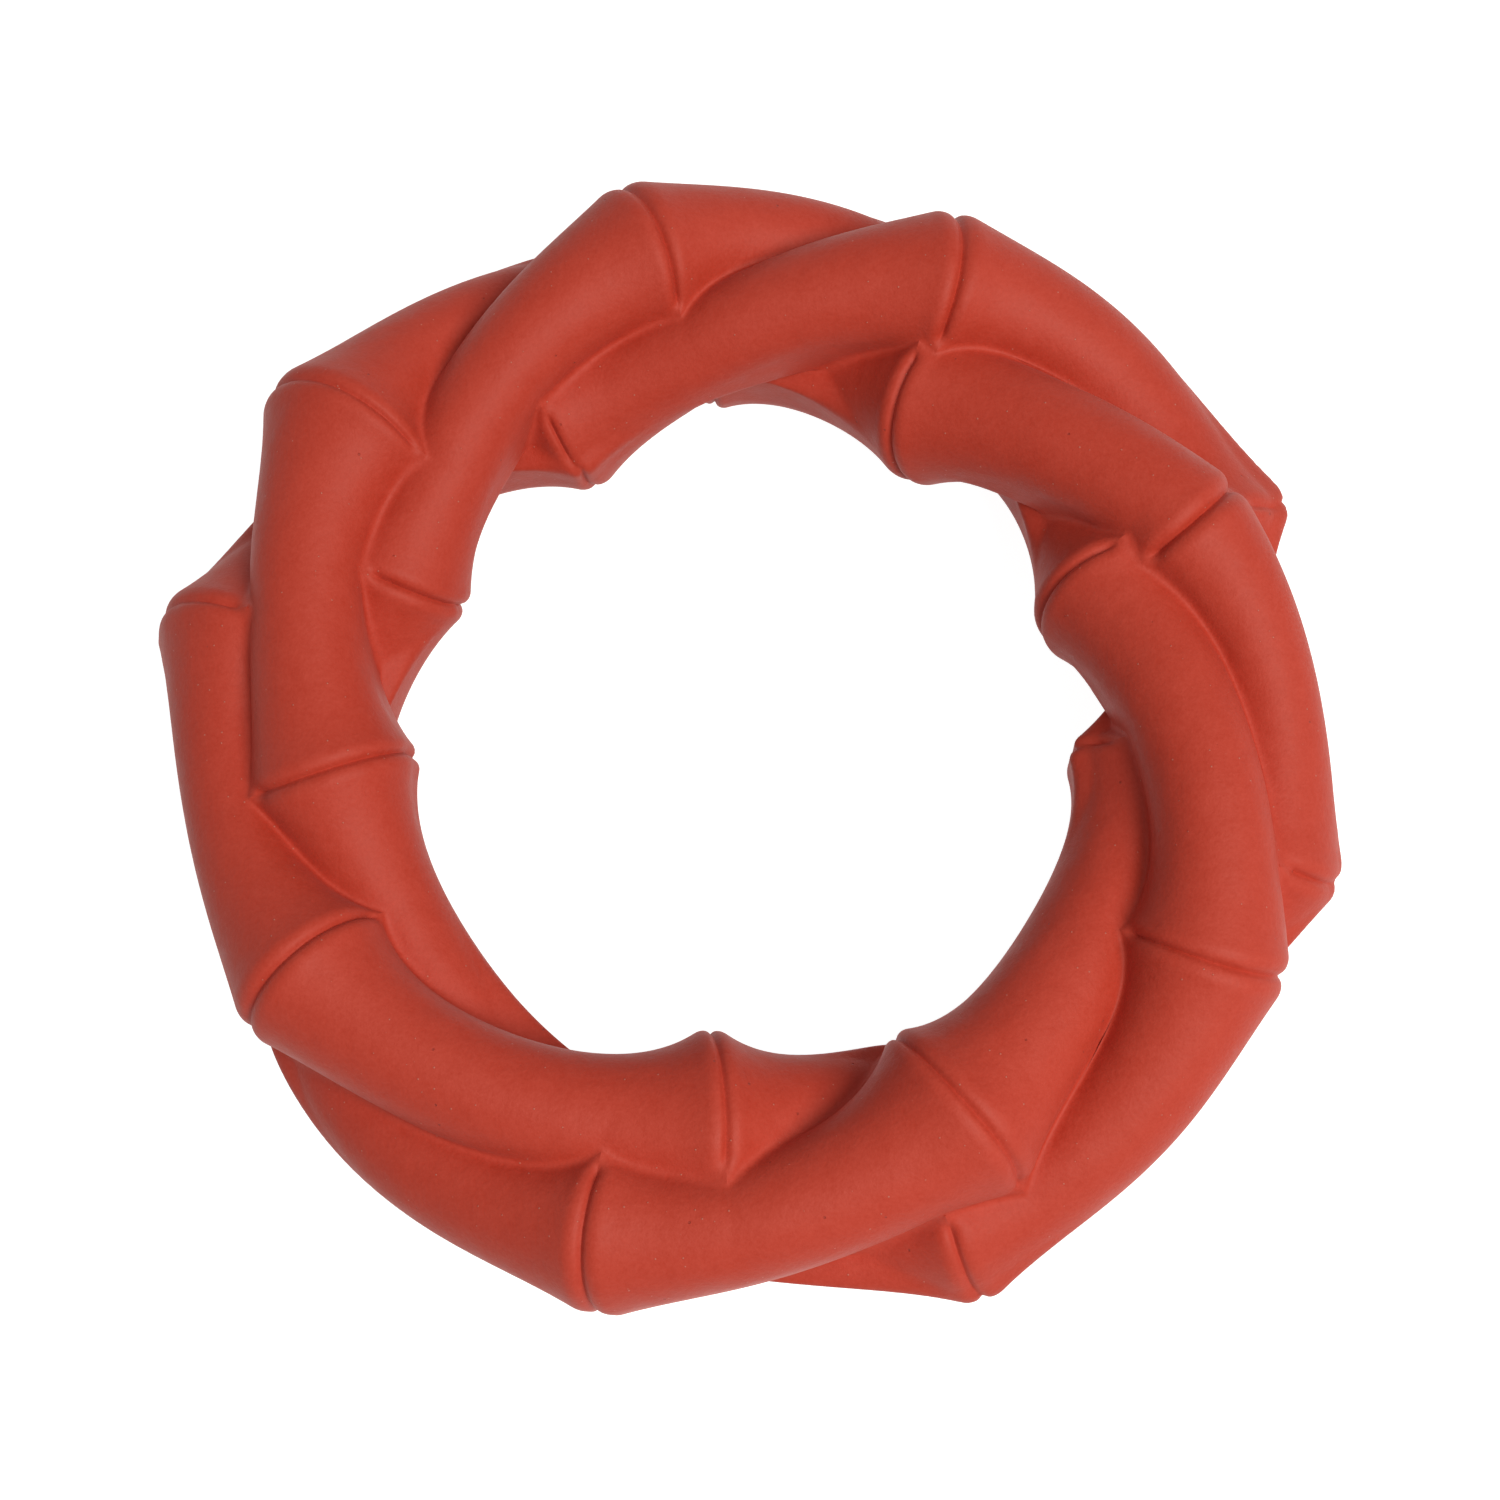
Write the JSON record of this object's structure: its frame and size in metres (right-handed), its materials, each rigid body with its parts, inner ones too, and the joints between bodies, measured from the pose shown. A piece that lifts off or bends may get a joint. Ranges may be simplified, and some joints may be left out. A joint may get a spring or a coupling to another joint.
{
  "type": "dog toy ring",
  "caption": "Chew and tug ring for a dog: solid natural rubber moulded as bamboo stalks twisted round each other and closed into a ring.",
  "frame": {"origin": "the middle of the ring's outline, on the plane that the ring stands on", "axes": "+Z along the ring's axis, up from the lips that it lies on; +Y towards the side where the twist is tight and +X to its right, seen from above"},
  "size_m": [0.1546, 0.1486, 0.0372],
  "materials": {
    "rubber": "matte"
  },
  "bodies": {
    "root": {"turn_1_segment_1": "rubber", "turn_1_segment_2": "rubber", "turn_1_segment_3": "rubber", "turn_1_segment_4": "rubber", "turn_1_segment_5": "rubber", "turn_1_segment_6": "rubber", "turn_1_segment_7": "rubber", "turn_1_segment_8": "rubber", "turn_2_segment_1": "rubber", "turn_2_segment_2": "rubber", "turn_2_segment_3": "rubber", "turn_2_segment_4": "rubber", "turn_2_segment_5": "rubber", "turn_2_segment_6": "rubber", "turn_2_segment_7": "rubber", "turn_2_segment_8": "rubber", "turn_3_segment_1": "rubber", "turn_3_segment_2": "rubber", "turn_3_segment_3": "rubber", "turn_3_segment_4": "rubber", "turn_3_segment_5": "rubber", "turn_3_segment_6": "rubber", "turn_3_segment_7": "rubber", "turn_3_segment_8": "rubber"}
  },
  "joints": []
}
